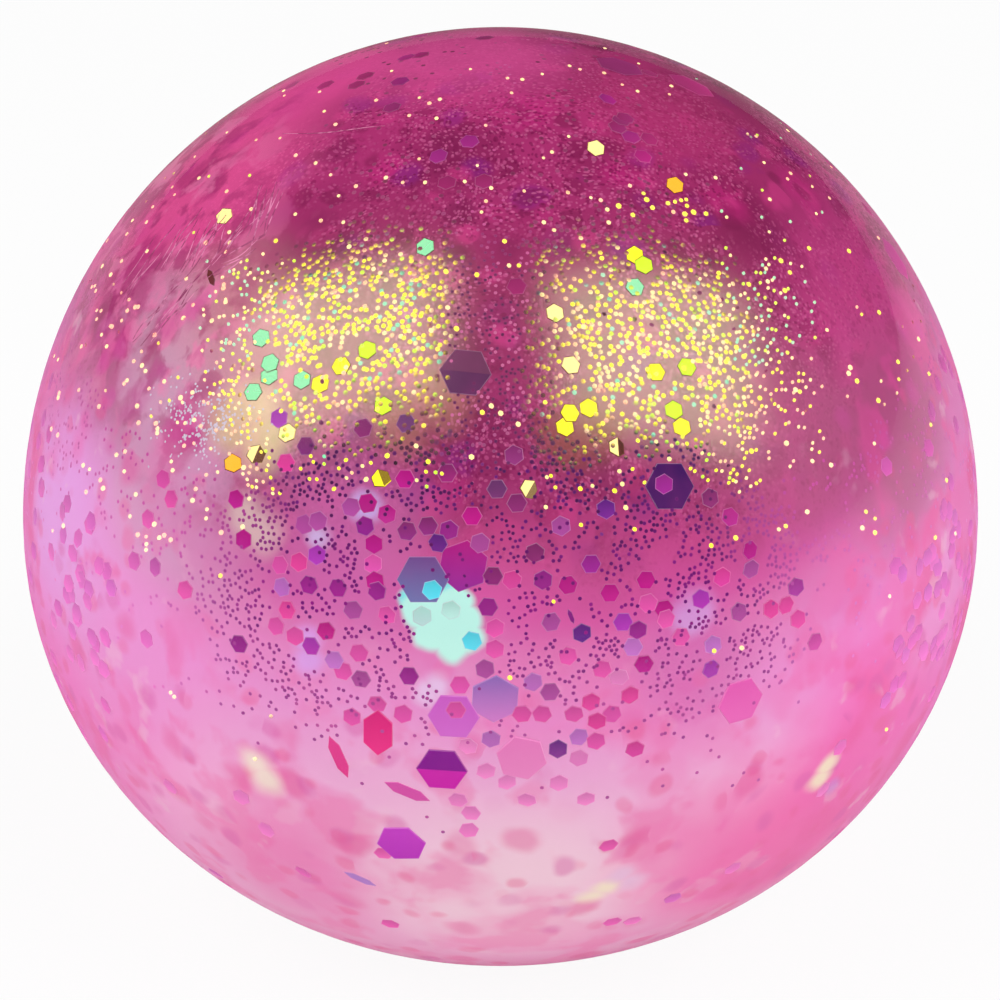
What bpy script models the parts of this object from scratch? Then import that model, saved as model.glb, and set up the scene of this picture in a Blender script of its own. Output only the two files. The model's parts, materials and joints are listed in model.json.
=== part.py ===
"""Glitter squishy ball: a soft rubber skin that sags on its foot, the barbed plug that shuts its filler neck,
the gel inside and the glitter sequins that lie in the gel against the wall. Metres, +Z up, origin under the foot."""

import math

import bmesh
import bpy
from mathutils import Matrix, Vector

# The ball at rest: a round crown on a belly that the floor flattens
BALL_DIAMETER = 0.070
CROWN_RISE = 0.0359
BELLY_DROP = 0.032
FOOT_SAG = 0.0027
FOOT_FILLET = 0.012

# The moulded skin and its filler neck
SKIN_WALL = 0.0016
NECK_WALL = 0.003
NECK_HEIGHT = 0.0055
BORE_DIAMETER = 0.006

# The plug: a flush flange outside, a stem in the bore and a barb inside
FLANGE_DIAMETER = 0.0096
FLANGE_THICKNESS = 0.0012
PLUG_RECESS = 0.0004
BARB_OVERHANG = 0.0008
BARB_TIP_DIAMETER = 0.003
BARB_HEIGHT = 0.003

# The gap that every piece keeps to its neighbour
CLEARANCE = 0.0003

# The sequins: hexagons of film, measured across the flats
LARGE_SEQUIN = 0.0030
MEDIUM_SEQUIN = 0.0012
LARGE_FILM = 0.00015
MEDIUM_FILM = 0.00012
SEQUIN_DEPTH = 0.0001
SEQUIN_SPACING = 0.0012
BACK_SEQUIN_COUNT = 10
MEDIUM_SEQUIN_COUNT = 37
CROWN_LATITUDE = 58
LOWEST_LATITUDE = -42
HIGHEST_LATITUDE = 82

# Large sequins in front, as the photograph shows them: how far along the wall to the right of the front and
# above the equator, and the turn in the wall's plane in degrees
FRONT_SEQUINS = (
    (-0.0023, 0.0262, 27),
    (0.0114, 0.0177, 19),
    (-0.0051, 0.0126, 35),
    (-0.0031, 0.0035, 30),
    (-0.0039, -0.0006, 30),
    (-0.0082, 0.0018, 0),
    (0.0014, 0.0005, 15),
    (-0.0067, -0.0081, 40),
    (0.0167, 0.0023, 30),
)

# Facets
SEGMENTS = 48
CROWN_RINGS = 11
BELLY_RINGS = 8
FILLET_RINGS = 4
PLUG_SEGMENTS = 24
FILLET_SEARCH_STEPS = 48
CANDIDATE_SEQUINS = 900

GOLDEN_ANGLE = math.pi * (3 - math.sqrt(5))
HEXAGON_SIDES = 6
POCKET_REACH = 0.002

RADIUS = BALL_DIAMETER / 2
EQUATOR_HEIGHT = BELLY_DROP - FOOT_SAG
BORE_RADIUS = BORE_DIAMETER / 2
NECK_RADIUS = BORE_RADIUS + NECK_WALL
STEM_RADIUS = BORE_RADIUS - CLEARANCE
BARB_RADIUS = BORE_RADIUS + BARB_OVERHANG
FLANGE_RADIUS = FLANGE_DIAMETER / 2
SEAT_RADIUS = FLANGE_RADIUS + CLEARANCE
SEAT_DEPTH = PLUG_RECESS + FLANGE_THICKNESS + CLEARANCE
BARB_BASE = NECK_HEIGHT + CLEARANCE
BARB_TOP = BARB_BASE + BARB_HEIGHT
GEL_INSET = SKIN_WALL + CLEARANCE


def clear_scene():
    for old in list(bpy.data.objects):
        bpy.data.objects.remove(old)


def make_collection(name):
    collection = bpy.data.collections.new(name)
    bpy.context.scene.collection.children.link(collection)
    return collection


def make_material(name, colour, roughness, metallic=0.0, alpha=1.0):
    material = bpy.data.materials.new(name)
    material.use_nodes = True
    shader = material.node_tree.nodes["Principled BSDF"]
    shader.inputs["Base Color"].default_value = (*colour, 1.0)
    shader.inputs["Roughness"].default_value = roughness
    shader.inputs["Metallic"].default_value = metallic
    shader.inputs["Alpha"].default_value = alpha
    return material


def add_object(name, mesh, material, collection, parent=None):
    obj = bpy.data.objects.new(name, mesh)
    obj.data.materials.append(material)
    obj.parent = parent
    collection.objects.link(obj)
    return obj


def add_body(name, height, collection, parent=None):
    """An empty on the ball's axis that carries the pieces of one moving body."""
    body = bpy.data.objects.new(name, None)
    body.parent = parent
    if parent is not None:
        height -= parent.location.z
    body.location.z = height
    collection.objects.link(body)
    return body


# The ball's section

def wall_at(latitude, inset):
    """(radius, height, normal) of the wall at a latitude in radians, moved inwards by inset."""
    across = RADIUS - inset
    along = (CROWN_RISE if latitude >= 0 else BELLY_DROP) - inset
    radius = across * math.cos(latitude)
    height = EQUATOR_HEIGHT + along * math.sin(latitude)
    normal = Vector((math.cos(latitude) / across, math.sin(latitude) / along)).normalized()
    return radius, height, normal


def fillet_start(inset):
    """(latitude, centre radius) where an arc that is tangent to the floor takes over from the belly."""
    fillet = FOOT_FILLET - inset

    def centre(latitude):
        radius, height, normal = wall_at(latitude, inset)
        return radius - fillet * normal[0], height - fillet * normal[1]

    above, below = 0.0, -math.pi / 2
    for _ in range(FILLET_SEARCH_STEPS):
        middle = (above + below) / 2
        if centre(middle)[1] > inset + fillet:
            above = middle
        else:
            below = middle
    return middle, centre(middle)[0]


def ball_section(inset):
    """Points (radius, height) of the ball's wall from the top pole down to the edge of the flat foot."""
    start, foot_radius = fillet_start(inset)
    fillet = FOOT_FILLET - inset
    points = []
    for ring in range(CROWN_RINGS):
        latitude = math.pi / 2 * (1 - ring / CROWN_RINGS)
        points.append(wall_at(latitude, inset)[:2])
    points[0] = (0.0, points[0][1])
    for ring in range(BELLY_RINGS):
        points.append(wall_at(start * ring / BELLY_RINGS, inset)[:2])
    normal = wall_at(start, inset)[2]
    slope = math.atan2(normal[1], normal[0])
    for ring in range(FILLET_RINGS + 1):
        angle = slope + (-math.pi / 2 - slope) * ring / FILLET_RINGS
        radius = foot_radius + fillet * math.cos(angle)
        points.append((radius, inset + fillet * (1 + math.sin(angle))))
    return points


def turned(name, section, segments, material, collection, parent=None):
    """A solid turned about the ball's axis from a section that starts and ends on that axis."""
    mesh = bpy.data.meshes.new(name)
    points = [(radius, 0.0, height) for radius, height in section]
    edges = [(i, i + 1) for i in range(len(points) - 1)]
    mesh.from_pydata(points, edges, [])
    obj = add_object(name, mesh, material, collection, parent)
    if parent is not None:
        obj.matrix_parent_inverse = parent.matrix_world.inverted()
    screw = obj.modifiers.new("Turn", "SCREW")
    screw.axis = "Z"
    screw.steps = segments
    screw.render_steps = segments
    screw.use_merge_vertices = True
    screw.merge_threshold = 0.00001
    screw.use_smooth_shade = True
    return obj


# The pieces

def make_skin(collection):
    """One moulding: the wall, the flat foot and the neck that stands up inside it round the filler bore."""
    material = make_material("skin_rubber", (0.93, 0.42, 0.68), 0.25, alpha=0.35)
    outside = ball_section(0.0)
    neck = [
        (SEAT_RADIUS, 0.0),
        (SEAT_RADIUS, SEAT_DEPTH),
        (BORE_RADIUS, SEAT_DEPTH),
        (BORE_RADIUS, NECK_HEIGHT),
        (NECK_RADIUS, NECK_HEIGHT),
        (NECK_RADIUS, SKIN_WALL),
    ]
    inside = ball_section(SKIN_WALL)[::-1]
    return turned("skin", outside + neck + inside, SEGMENTS, material, collection)


def make_plug(collection):
    """The stopper: its flange fills the seat, its stem the bore, and its barb hooks over the neck's end."""
    material = make_material("plug_rubber", (0.86, 0.55, 0.72), 0.4)
    section = [
        (0.0, BARB_TOP),
        (BARB_TIP_DIAMETER / 2, BARB_TOP),
        (BARB_RADIUS, BARB_BASE),
        (STEM_RADIUS, BARB_BASE),
        (STEM_RADIUS, SEAT_DEPTH - CLEARANCE),
        (FLANGE_RADIUS, SEAT_DEPTH - CLEARANCE),
        (FLANGE_RADIUS, PLUG_RECESS),
        (0.0, PLUG_RECESS),
    ]
    return turned("filler_plug", section, PLUG_SEGMENTS, material, collection)


def make_gel(collection, body):
    """The filling: it follows the wall inside and goes round the neck and the barb."""
    material = make_material("gel", (0.80, 0.12, 0.42), 0.1)
    around_neck = [
        (NECK_RADIUS + CLEARANCE, GEL_INSET),
        (NECK_RADIUS + CLEARANCE, BARB_BASE),
        (BARB_RADIUS + CLEARANCE, BARB_BASE),
        (BARB_TIP_DIAMETER / 2 + CLEARANCE, BARB_TOP + CLEARANCE),
        (0.0, BARB_TOP + CLEARANCE),
    ]
    section = ball_section(GEL_INSET) + around_neck
    return turned("gel_filling", section, SEGMENTS, material, collection, body)


# The sequins

def sequin_place(azimuth, latitude, turn):
    """The matrix that lays a sequin against the wall: its Z points out of the ball."""
    radius, height, normal = wall_at(latitude, GEL_INSET + SEQUIN_DEPTH)
    outward = Vector((math.sin(azimuth), -math.cos(azimuth), 0.0))
    point = outward * radius + Vector((0.0, 0.0, height))
    facing = outward * normal[0] + Vector((0.0, 0.0, normal[1]))
    lie = facing.to_track_quat("Z", "Y").to_matrix().to_4x4()
    return Matrix.Translation(point) @ lie @ Matrix.Rotation(turn, 4, "Z")


def scattered_places():
    """Places that cover the ball evenly: each step turns by the golden angle and takes the next height."""
    low, high = (math.sin(math.radians(x)) for x in (LOWEST_LATITUDE, HIGHEST_LATITUDE))
    for step in range(CANDIDATE_SEQUINS):
        share = (step * (math.sqrt(5) - 1) / 2) % 1
        latitude = math.asin(low + (high - low) * share)
        yield step * GOLDEN_ANGLE * math.sqrt(2), latitude, step * GOLDEN_ANGLE


def choose_places():
    """Lists of large and of medium sequin places as (latitude, matrix), none nearer than the spacing."""
    taken = []

    def fits(place, size):
        reach = size / math.sqrt(3)
        return all(
            (place.translation - other.translation).length > reach + theirs + SEQUIN_SPACING
            for other, theirs in taken
        )

    def take(kept, angles, size):
        place = sequin_place(*angles)
        kept.append((angles[1], place))
        taken.append((place, size / math.sqrt(3)))

    large, medium = [], []
    for across, up, turn in FRONT_SEQUINS:
        latitude = up / (RADIUS - GEL_INSET)
        azimuth = across / wall_at(latitude, GEL_INSET)[0]
        take(large, (azimuth, latitude, math.radians(turn)), LARGE_SEQUIN)
    for angles in scattered_places():
        behind = math.cos(angles[0]) < 0
        if len(large) < len(FRONT_SEQUINS) + BACK_SEQUIN_COUNT:
            if behind and fits(sequin_place(*angles), LARGE_SEQUIN):
                take(large, angles, LARGE_SEQUIN)
        elif len(medium) < MEDIUM_SEQUIN_COUNT and fits(sequin_place(*angles), MEDIUM_SEQUIN):
            take(medium, angles, MEDIUM_SEQUIN)
    return large, medium


def add_hexagon(mesh, size, depth, matrix):
    """A hexagonal prism whose outer face is the matrix's XY plane, going depth down from it."""
    bmesh.ops.create_cone(
        mesh,
        cap_ends=True,
        segments=HEXAGON_SIDES,
        radius1=size / math.sqrt(3),
        radius2=size / math.sqrt(3),
        depth=depth,
        matrix=matrix @ Matrix.Translation((0.0, 0.0, -depth / 2)),
    )


def hexagon_mesh(name, size, film):
    shape = bmesh.new()
    add_hexagon(shape, size, film, Matrix.Identity(4))
    mesh = bpy.data.meshes.new(name)
    shape.to_mesh(mesh)
    shape.free()
    return mesh


def make_sequins(kind, size, film, places, material, bodies, collection):
    """One object a sequin, sharing one mesh. Those at the crown ride on the body that a squeeze presses down."""
    mesh = hexagon_mesh(kind, size, film)
    mesh.materials.append(material)
    for number, (latitude, place) in enumerate(places, 1):
        body = bodies["crown" if latitude > math.radians(CROWN_LATITUDE) else "filling"]
        obj = bpy.data.objects.new(f"{kind}_{number:02d}", mesh)
        collection.objects.link(obj)
        obj.parent = body
        obj.matrix_parent_inverse = body.matrix_world.inverted()
        obj.matrix_basis = place


def cut_pockets(gel, sizes, cutters):
    """Cuts the room that the sequins take out of the gel, open towards the wall."""
    shape = bmesh.new()
    for size, film, places in sizes:
        depth = film + CLEARANCE + POCKET_REACH
        for _, place in places:
            raised = place @ Matrix.Translation((0.0, 0.0, POCKET_REACH))
            add_hexagon(shape, size + 2 * CLEARANCE, depth, raised)
    mesh = bpy.data.meshes.new("sequin_pockets")
    shape.to_mesh(mesh)
    shape.free()
    cutter = bpy.data.objects.new("sequin_pockets", mesh)
    cutter.hide_render = True
    cutter.display_type = "WIRE"
    cutters.objects.link(cutter)
    cut = gel.modifiers.new("Sequin pockets", "BOOLEAN")
    cut.operation = "DIFFERENCE"
    cut.object = cutter
    cut.use_self = True


def main():
    clear_scene()
    parts = make_collection("squishy_ball")
    cutters = make_collection("cutters")
    make_skin(parts)
    make_plug(parts)
    filling = add_body("filling_body", EQUATOR_HEIGHT, parts)
    crown = add_body("crown_body", EQUATOR_HEIGHT + CROWN_RISE, parts, filling)
    bpy.context.view_layer.update()
    gel = make_gel(parts, filling)
    large, medium = choose_places()
    bodies = {"filling": filling, "crown": crown}
    violet = make_material("large_sequin_film", (0.20, 0.04, 0.30), 0.15, metallic=0.6)
    magenta = make_material("medium_sequin_film", (0.55, 0.05, 0.32), 0.15, metallic=0.6)
    make_sequins("large_sequin", LARGE_SEQUIN, LARGE_FILM, large, violet, bodies, parts)
    make_sequins("medium_sequin", MEDIUM_SEQUIN, MEDIUM_FILM, medium, magenta, bodies, parts)
    pockets = ((LARGE_SEQUIN, LARGE_FILM, large), (MEDIUM_SEQUIN, MEDIUM_FILM, medium))
    cut_pockets(gel, pockets, cutters)


main()
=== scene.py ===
"""The look of the glitter squishy ball: a clear rubber skin over a pink gel that darkens towards the crown,
with hexagons of iridescent film in three sizes between the two."""

import json
import math

import bpy
import numpy as np
from mathutils import Matrix, Vector, kdtree, noise


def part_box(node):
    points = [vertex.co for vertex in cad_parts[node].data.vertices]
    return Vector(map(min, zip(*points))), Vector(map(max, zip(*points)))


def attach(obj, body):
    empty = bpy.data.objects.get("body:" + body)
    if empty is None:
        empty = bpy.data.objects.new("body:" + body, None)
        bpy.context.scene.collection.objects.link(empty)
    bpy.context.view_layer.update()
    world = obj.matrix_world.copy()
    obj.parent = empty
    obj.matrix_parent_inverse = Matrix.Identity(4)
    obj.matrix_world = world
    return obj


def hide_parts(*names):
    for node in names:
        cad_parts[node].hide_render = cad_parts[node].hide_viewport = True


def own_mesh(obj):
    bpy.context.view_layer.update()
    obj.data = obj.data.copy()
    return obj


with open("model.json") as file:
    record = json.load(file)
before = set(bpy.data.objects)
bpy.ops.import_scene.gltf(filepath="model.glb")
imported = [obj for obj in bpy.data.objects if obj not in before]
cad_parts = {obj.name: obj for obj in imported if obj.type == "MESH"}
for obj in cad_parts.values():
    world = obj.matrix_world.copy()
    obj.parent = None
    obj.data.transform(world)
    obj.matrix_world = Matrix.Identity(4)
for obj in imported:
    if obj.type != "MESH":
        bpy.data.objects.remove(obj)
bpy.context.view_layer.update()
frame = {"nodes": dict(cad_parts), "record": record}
nodes = frame["nodes"]

# The ball's sizes in metres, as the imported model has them
RADIUS = 0.035
CROWN_RISE = 0.0359
BELLY_DROP = 0.032
FOOT_SAG = 0.0027
FOOT_FILLET = 0.012
SKIN_WALL = 0.0016
SEAT_RADIUS = 0.0051
SEAT_DEPTH = 0.0019
BORE_RADIUS = 0.003
NECK_RADIUS = 0.006
NECK_HEIGHT = 0.0055
NECK_CLEARANCE = 0.0005
BARB_CLEARANCE = 0.0012
POCKET_TOP = 0.0145
EQUATOR = BELLY_DROP - FOOT_SAG
MIDDLE = Vector((0, 0, EQUATOR))

# Rings of the turned meshes in the crown, the belly and the fillet, and the segments round them
SKIN_RINGS = (44, 30, 14)
INNER_RINGS = (22, 15, 7)
CORE_RINGS = (40, 28, 10)
SEGMENTS = 128

# Depths under the skin's outer face, of the tinted gel and of the glitter
CORE_INSET = 0.0026
FINE_DEPTHS = (0.00165, 0.00190)
MEDIUM_DEPTHS = (0.0019, 0.0023)
FLASH_DEPTH = 0.0021
LACE_DEPTHS = (0.0018, 0.0022)

# Glitter: width across the flats and thickness, and the width of a sequin's rim
FINE, FINE_FILM = 0.00026, 0.000004
MEDIUM, MEDIUM_FILM = 0.0012, 0.00006
LARGE, LARGE_FILM = 0.0030, 0.0001
RIM_WIDTH = 0.00005

# How much glitter is drawn, and the pixel and the spread of two gatherings of specks
SEED = 7
LOOSE_COUNT = 520
FINE_TRIES = 140000
FINE_SPACING = 1.1 * FINE
SPARKLE_COUNT = 300
DRIFT_COUNT, DRIFT_PIXEL, DRIFT_SPREAD = 18, (672, 204), (24, 7)
LACE_TRIES, LACE_PIXEL, LACE_SPREAD = 900, (203, 418), (22, 20)
LACE_SCALE, LACE_THREAD, LACE_SIZE = 1500, 0.12, 0.6

# Specks are rare over a sequin: within this share of its width, and this height over or under it
SEQUIN_COVER = 0.55
SEQUIN_HEIGHT = 0.001
OFF_SEQUINS = 0.9

# Shares of the specks and of the loose sequins by latitude in degrees
SPECK_HEIGHTS = (-20, 0, 6, 14, 20, 26, 32, 37, 57, 63, 70, 90)
SPECK_SHARES = (0.0, 0.012, 0.26, 0.90, 1.25, 1.35, 1.30, 0.95, 0.95, 0.20, 0.05, 0.03)
LOOSE_HEIGHTS = (-40, -12, 0, 12, 30, 42, 90)
LOOSE_SHARES = (0.03, 0.12, 0.7, 1.0, 0.7, 0.25, 0.22)

# Parts of the ball without further sequins: most azimuth, least and most latitude in radians
KEPT_CLEAR = ((0.95, -0.15, 1.08), (2.4, 0.42, 1.2))

# Specks flash above a latitude in degrees and beside the highlights, but not in the gap between these
FLASH_LATITUDE = 34
BESIDE = 0.44
GAP_MIDDLE, GAP_REACH = -0.02, 0.07

# The films of specks in the highlights, and their shares in the left and in the right one
HIGHLIGHT_FILMS = ("gold", "cream", "lime", "mint", "peach")
LEFT_SHARES = (0.62, 0.14, 0.12, 0.06, 0.06)
RIGHT_SHARES = (0.54, 0.22, 0.10, 0.06, 0.08)

# Sparkles in the picture, as boxes from left to right and from top to bottom, and heights in it
SPARKLE_BOX = (40, 960, 40, 760)
MANY_LEFT = (0, 260, 220, 560)
MANY_AT_EDGE = (232, 300, 255, 350)
FEW_BELOW = 540
MORE_ABOVE = 250
SMALL_ABOVE = 240

# The camera, fitted to the photograph's outline
VIEW_ELEVATION = math.radians(30)
VIEW_DISTANCE = 0.30
FOCAL_PIXELS = 4065
IMAGE = 1000
SENSOR = 36
CENTRE_PIXEL = (500.5, 515)
RAY_STEP = 0.001

# The skin's clear rubber
SKIN_IOR = 1.2
SKIN_ROUGHNESS = 0.035
SKIN_TINTS = ((1.0, 0.95, 0.975, 1.0), (1.0, 0.975, 0.99, 1.0))
MOST_GLOSS = 0.06

# The softboxes: the middles of their mirror images on the ball, and their tilt
SOFTBOX_PIXELS = ((331, 329), (672, 341))
SOFTBOX_ROLLS = (math.radians(56), math.radians(-44))
SOFTBOX_DISTANCE = 0.5
SOFTBOX_SIZES = ((0.56, 0.43), (0.56, 0.45))
SOFTBOX_RADIANCE = 3.5
SOFTBOX_EDGE = 0.8

# The fills, by their places from the ball's middle and their radiance, and the light of the sky
FILL_SIZE = (1.1, 0.8)
FILLS = {
    "fill_front": ((0, -0.9, 0.05), 1.13),
    "fill_left": ((-0.9, -0.1, 0.15), 1.12),
    "fill_right": ((0.9, -0.1, 0.15), 1.12),
    "fill_back": ((0, 0.9, 0.3), 0.8),
}
SKY_LIGHT = 0.03

# The floor: how white it is, how much of it glows by itself, and how much less that is in a mirror
FLOOR_RADIUS, FLOOR_DROP = 6.0, 0.0001
FLOOR_WHITE, FLOOR_GLOW, FLOOR_DIMMER = 0.92, 0.92, 0.35

# What shines through a sequin, as it looks on a screen
HUES = {
    "slate": (92, 54, 102),
    "navy": (84, 34, 126),
    "maroon": (138, 34, 84),
    "plum": (124, 42, 100),
    "purple": (146, 34, 134),
    "violet": (164, 56, 174),
    "magenta": (182, 22, 128),
    "rose": (222, 68, 150),
    "pink": (220, 84, 164),
    "mauve": (164, 74, 148),
    "lilac": (186, 112, 192),
    "blush": (238, 140, 200),
    "cyan": (60, 222, 236),
    "ice": (176, 238, 222),
    "silver": (206, 200, 214),
    "umber": (98, 48, 30),
}

# Medium sequins that the photograph shows in front, in its pixels
FRONT_SEQUINS = {
    "plum": ((306, 446), (363, 428), (447, 473), (514, 455), (517, 503), (428, 526), (407, 531), (535, 553),
             (493, 576), (710, 498)),
    "slate": ((497, 489), (406, 423)),
    "navy": ((438, 543), (606, 509), (582, 633), (558, 749)),
    "magenta": ((405, 479), (387, 514), (472, 516), (374, 544), (568, 585), (646, 580), (610, 593),
                (664, 609), (730, 517), (750, 550), (326, 631), (375, 581), (644, 664), (236, 499),
                (815, 642), (134, 561)),
    "rose": ((286, 463), (299, 562), (512, 580), (722, 577), (287, 610), (591, 702), (630, 695), (597, 721),
             (635, 749), (786, 605), (771, 609), (798, 619), (185, 590), (163, 479), (171, 499), (148, 519)),
    "purple": ((449, 530), (338, 588), (309, 585), (591, 564), (543, 580), (488, 607), (377, 591), (638, 630),
               (409, 676), (365, 526), (796, 587), (155, 567), (239, 644)),
    "violet": ((317, 555), (311, 646), (623, 622), (711, 669), (701, 599), (279, 418), (111, 588)),
    "pink": ((280, 565), (373, 564), (276, 626), (295, 636), (359, 653), (343, 671), (387, 615), (648, 603),
             (666, 619), (681, 637), (568, 656), (602, 669), (495, 649), (460, 685), (377, 704), (352, 717),
             (403, 714), (522, 714), (542, 714), (574, 714), (612, 714), (596, 741), (495, 628)),
    "mauve": ((351, 507), (318, 521), (480, 543), (353, 610), (551, 622), (739, 612), (751, 569), (561, 526),
              (361, 679), (550, 692), (485, 669)),
    "lilac": ((282, 587), (334, 660), (713, 645), (633, 647), (579, 737), (491, 739), (533, 682)),
    "blush": ((619, 677), (468, 746), (579, 758), (559, 783), (486, 771), (471, 813), (458, 800), (507, 782),
              (527, 800), (586, 799)),
    "cyan": ((472, 641),),
    "ice": ((422, 616), (451, 610)),
}
ON_TOP_DEPTH = 0.0018
ON_TOP = {"cyan": ((432, 590),), "purple": ((664, 484),), "pink": ((456, 710),)}

# Medium sequins that throw the light of a softbox back
FLASHING_SEQUINS = {
    "mint": ((261, 338), (270, 363), (269, 376), (253, 392), (302, 380), (425, 247), (635, 287)),
    "gold": ((320, 384), (341, 366), (635, 255), (656, 372), (589, 408), (570, 413), (565, 427), (682, 427),
             (381, 478)),
    "lime": ((367, 350), (383, 406), (687, 367), (644, 265), (674, 410)),
    "cream": ((555, 313), (571, 365), (596, 148), (530, 489), (224, 216), (287, 433), (256, 454), (618, 447)),
    "amber": ((675, 185), (233, 463)),
}

# Below this height in the picture they are folded, and only one half catches the light
HALF_LIT_BELOW = 440
HALF_LIT_FOLD = 0.3

# Large sequins in front, by the number of their node: the hue of the upper and of the lower side
LARGE_HUES = {
    1: ((98, 54, 80), (82, 46, 80)),
    2: ((44, 14, 84), (60, 24, 92)),
    3: ((104, 68, 132), (98, 120, 172)),
    4: ((200, 92, 196), (212, 110, 206)),
    5: ((128, 16, 140), (206, 30, 172)),
    6: ((214, 30, 116), (240, 52, 136)),
    7: ((232, 126, 190), (236, 140, 196)),
    8: ((204, 64, 204), (186, 44, 190)),
    9: ((228, 92, 178), (236, 110, 188)),
}
FOLDED = (1, 5)
NARROWED = {6: 0.66}
LOOSE_LARGE = (((463, 566), (170, 24, 120), (142, 44, 146)), ((495, 699), (132, 104, 180), (212, 130, 204)))

# Sequins seen nearly edge on: both ends and the hue
SLIVERS = (
    ((329, 736), (348, 778), (228, 62, 140)),
    ((384, 782), (430, 801), (218, 84, 170)),
    ((344, 872), (376, 886), (180, 130, 206)),
    ((568, 609), (574, 624), (120, 30, 120)),
    ((208, 269), (214, 286), (98, 48, 30)),
)

# Soft clouds in the gel, partly its own uneven tone and partly painted light, such as the painted haze of the
# left highlight and painted light low on the front: pixel, reach in metres, colour and strength
CLOUDS_AND_PAINTED_LIGHT = (
    ((205, 175), 0.012, (250, 92, 164), 0.8),
    ((325, 75), 0.009, (250, 84, 166), 0.8),
    ((215, 330), 0.009, (216, 144, 158), 0.75),
    ((140, 340), 0.008, (216, 160, 190), 0.7),
    ((340, 545), 0.008, (204, 116, 182), 0.5),
    ((160, 455), 0.010, (216, 166, 200), 0.75),
    ((60, 520), 0.010, (238, 162, 242), 0.8),
    ((110, 620), 0.010, (236, 146, 216), 0.5),
    ((290, 870), 0.010, (240, 96, 182), 0.7),
    ((785, 845), 0.012, (248, 64, 172), 0.85),
    ((880, 718), 0.011, (248, 80, 186), 0.75),
    ((870, 300), 0.011, (196, 66, 134), 0.6),
    ((800, 430), 0.008, (182, 88, 130), 0.6),
    ((935, 590), 0.008, (246, 150, 220), 0.7),
    ((895, 440), 0.010, (176, 80, 128), 0.7),
    ((690, 860), 0.009, (248, 88, 180), 0.7),
    ((690, 665), 0.006, (206, 78, 172), 0.6),
    ((195, 540), 0.007, (204, 152, 194), 0.5),
    ((510, 900), 0.012, (252, 212, 230), 0.8),
    ((470, 52), 0.010, (230, 82, 158), 0.75),
    ((660, 110), 0.009, (188, 52, 116), 0.5),
)

# Painted light in the gel: glints and glows thrown back by sequins deep inside, and two dull brown patches
# painted under the highlights: pixels, reach in metres, colour and strength
GLOWS = (
    (((426, 690), (434, 684)), 0.0013, (232, 204, 244), 0.8),
    (((258, 768), (263, 780)), 0.0018, (252, 240, 220), 0.8),
    (((821, 780), (827, 766)), 0.0015, (252, 242, 206), 0.85),
    (((832, 790),), 0.0012, (206, 130, 220), 0.6),
    (((590, 897), (604, 888)), 0.0016, (255, 240, 212), 0.9),
    (((622, 874), (632, 882)), 0.0016, (240, 196, 232), 0.8),
    (((252, 518), (262, 528)), 0.0022, (222, 196, 190), 0.7),
    (((236, 424), (250, 408), (262, 440)), 0.0030, (230, 210, 150), 0.6),
    (((362, 506),), 0.0014, (200, 180, 240), 0.8),
    (((692, 614), (700, 604)), 0.0018, (210, 160, 228), 0.7),
    (((318, 534),), 0.0013, (206, 186, 232), 0.8),
    (((440, 404), (400, 430)), 0.0030, (168, 110, 96), 0.6),
    (((600, 428), (570, 440)), 0.0030, (140, 70, 60), 0.7),
    (((308, 660), (306, 640)), 0.0015, (216, 160, 244), 0.7),
)

# The brightest painted glows, with clear edges
BRIGHT_GLOWS = (
    (((422, 600), (432, 598), (444, 600)), 0.0014, (130, 236, 236), 0.95),
    (((425, 614), (440, 612), (454, 608), (460, 626), (444, 628), (436, 640), (462, 644), (452, 652)), 0.0014,
     (190, 248, 236), 1.0),
)

# Scuffs on the skin, from pixel to pixel, each with others beside it
SCUFF_DEPTH, SCUFF_WIDTH = 0.0005, 0.00005
SCUFF_STEPS, SCUFF_SWAY = 12, 2.0
SCUFF_COPIES, SCUFF_SPREAD = 4, 9
SCUFFS = (
    ((152, 272), (178, 232)), ((134, 300), (168, 252)), ((172, 280), (202, 228)), ((184, 266), (216, 218)),
    ((194, 252), (208, 222)), ((216, 264), (247, 226)), ((250, 240), (264, 190)), ((254, 230), (272, 186)),
    ((154, 324), (178, 296)), ((142, 340), (174, 300)), ((174, 312), (202, 280)), ((222, 266), (266, 240)),
)
LONG_SCUFF = ((294, 122), (398, 116))


# Where things are

def wall_at(latitude, inset):
    """(radius, height, normal) of the ball's wall at a latitude, moved inwards by inset."""
    across = RADIUS - inset
    along = (CROWN_RISE if latitude >= 0 else BELLY_DROP) - inset
    normal = Vector((math.cos(latitude) / across, math.sin(latitude) / along)).normalized()
    return across * math.cos(latitude), EQUATOR + along * math.sin(latitude), normal


def place_at(azimuth, latitude, inset):
    """(point, outward normal) on the wall. Azimuth runs from the front towards the right."""
    radius, height, normal = wall_at(latitude, inset)
    outward = Vector((math.sin(azimuth), -math.cos(azimuth), 0.0))
    return outward * radius + Vector((0, 0, height)), outward * normal[0] + Vector((0, 0, normal[1]))


def view_axes():
    """The directions to the right, up and back, as the camera sees them."""
    back = Vector((0.0, -math.cos(VIEW_ELEVATION), math.sin(VIEW_ELEVATION)))
    return Vector((1, 0, 0)), Vector((0.0, math.sin(VIEW_ELEVATION), math.cos(VIEW_ELEVATION))), back


def camera_place():
    return MIDDLE + view_axes()[2] * VIEW_DISTANCE


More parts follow.
